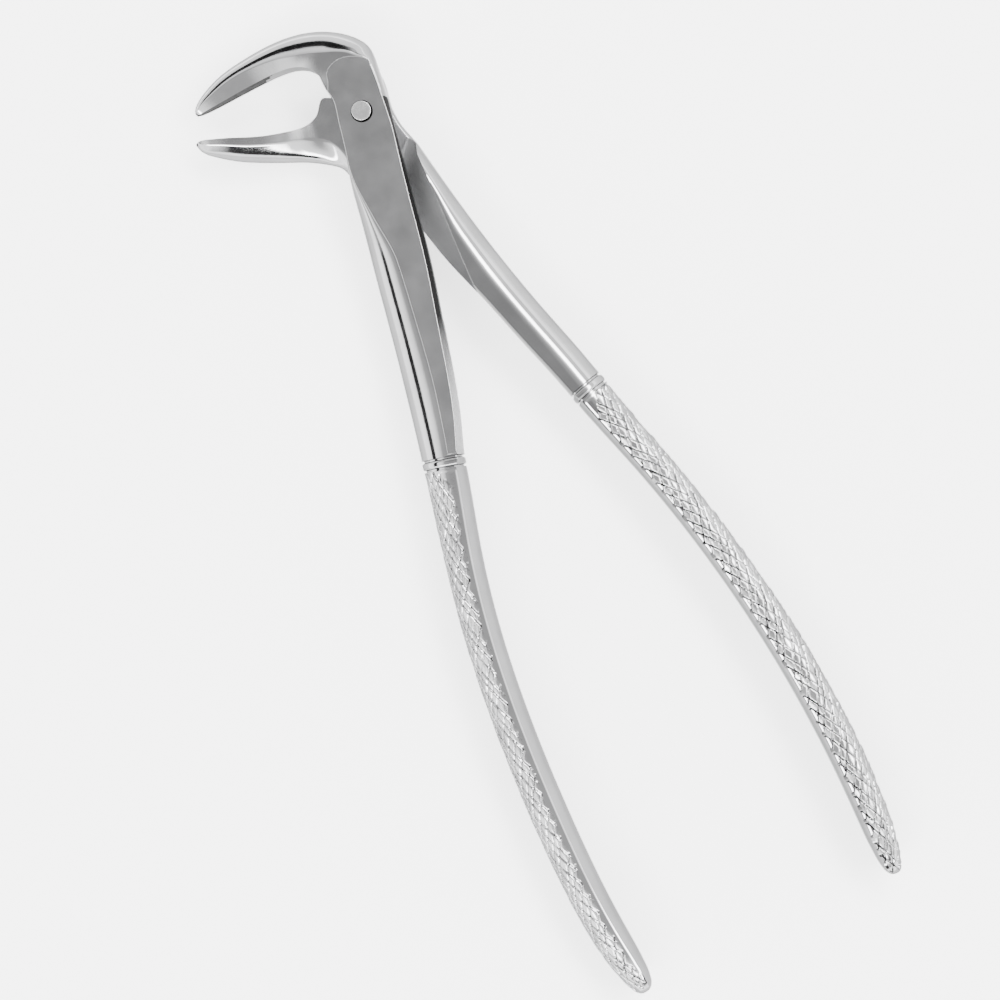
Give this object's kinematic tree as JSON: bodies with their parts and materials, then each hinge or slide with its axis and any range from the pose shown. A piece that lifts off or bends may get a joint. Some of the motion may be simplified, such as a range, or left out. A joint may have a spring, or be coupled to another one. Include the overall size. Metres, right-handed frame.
{
  "type": "dental extraction forceps",
  "caption": "Hawk-bill dental extraction forceps with a riveted lap joint, curved pointed beaks and knurled bow handles that swing on one hinge pin.",
  "frame": {"origin": "on the hinge pin's axis, at the rear face of the joint, which is the face the forceps lies on", "axes": "+Z along the hinge pin towards its visible head; -Y along the middle line between the open handles, towards their ends; the beaks point towards -X"},
  "size_m": [0.0584, 0.1782, 0.0104],
  "materials": {
    "forged_steel": "polished stainless steel, with satin ground flats and cross-cut grips",
    "pin_steel": "fine satin"
  },
  "bodies": {
    "back": {"back_half": "forged_steel", "hinge_pin": "pin_steel"},
    "front": {"front_half": "forged_steel"}
  },
  "joints": [
    {"name": "handle_hinge", "type": "hinge", "parent": "back", "child": "front", "pos_m": [0, 0, 0.005], "axis": [0, 0, 1], "range_deg": [0, 8.8]}
  ]
}
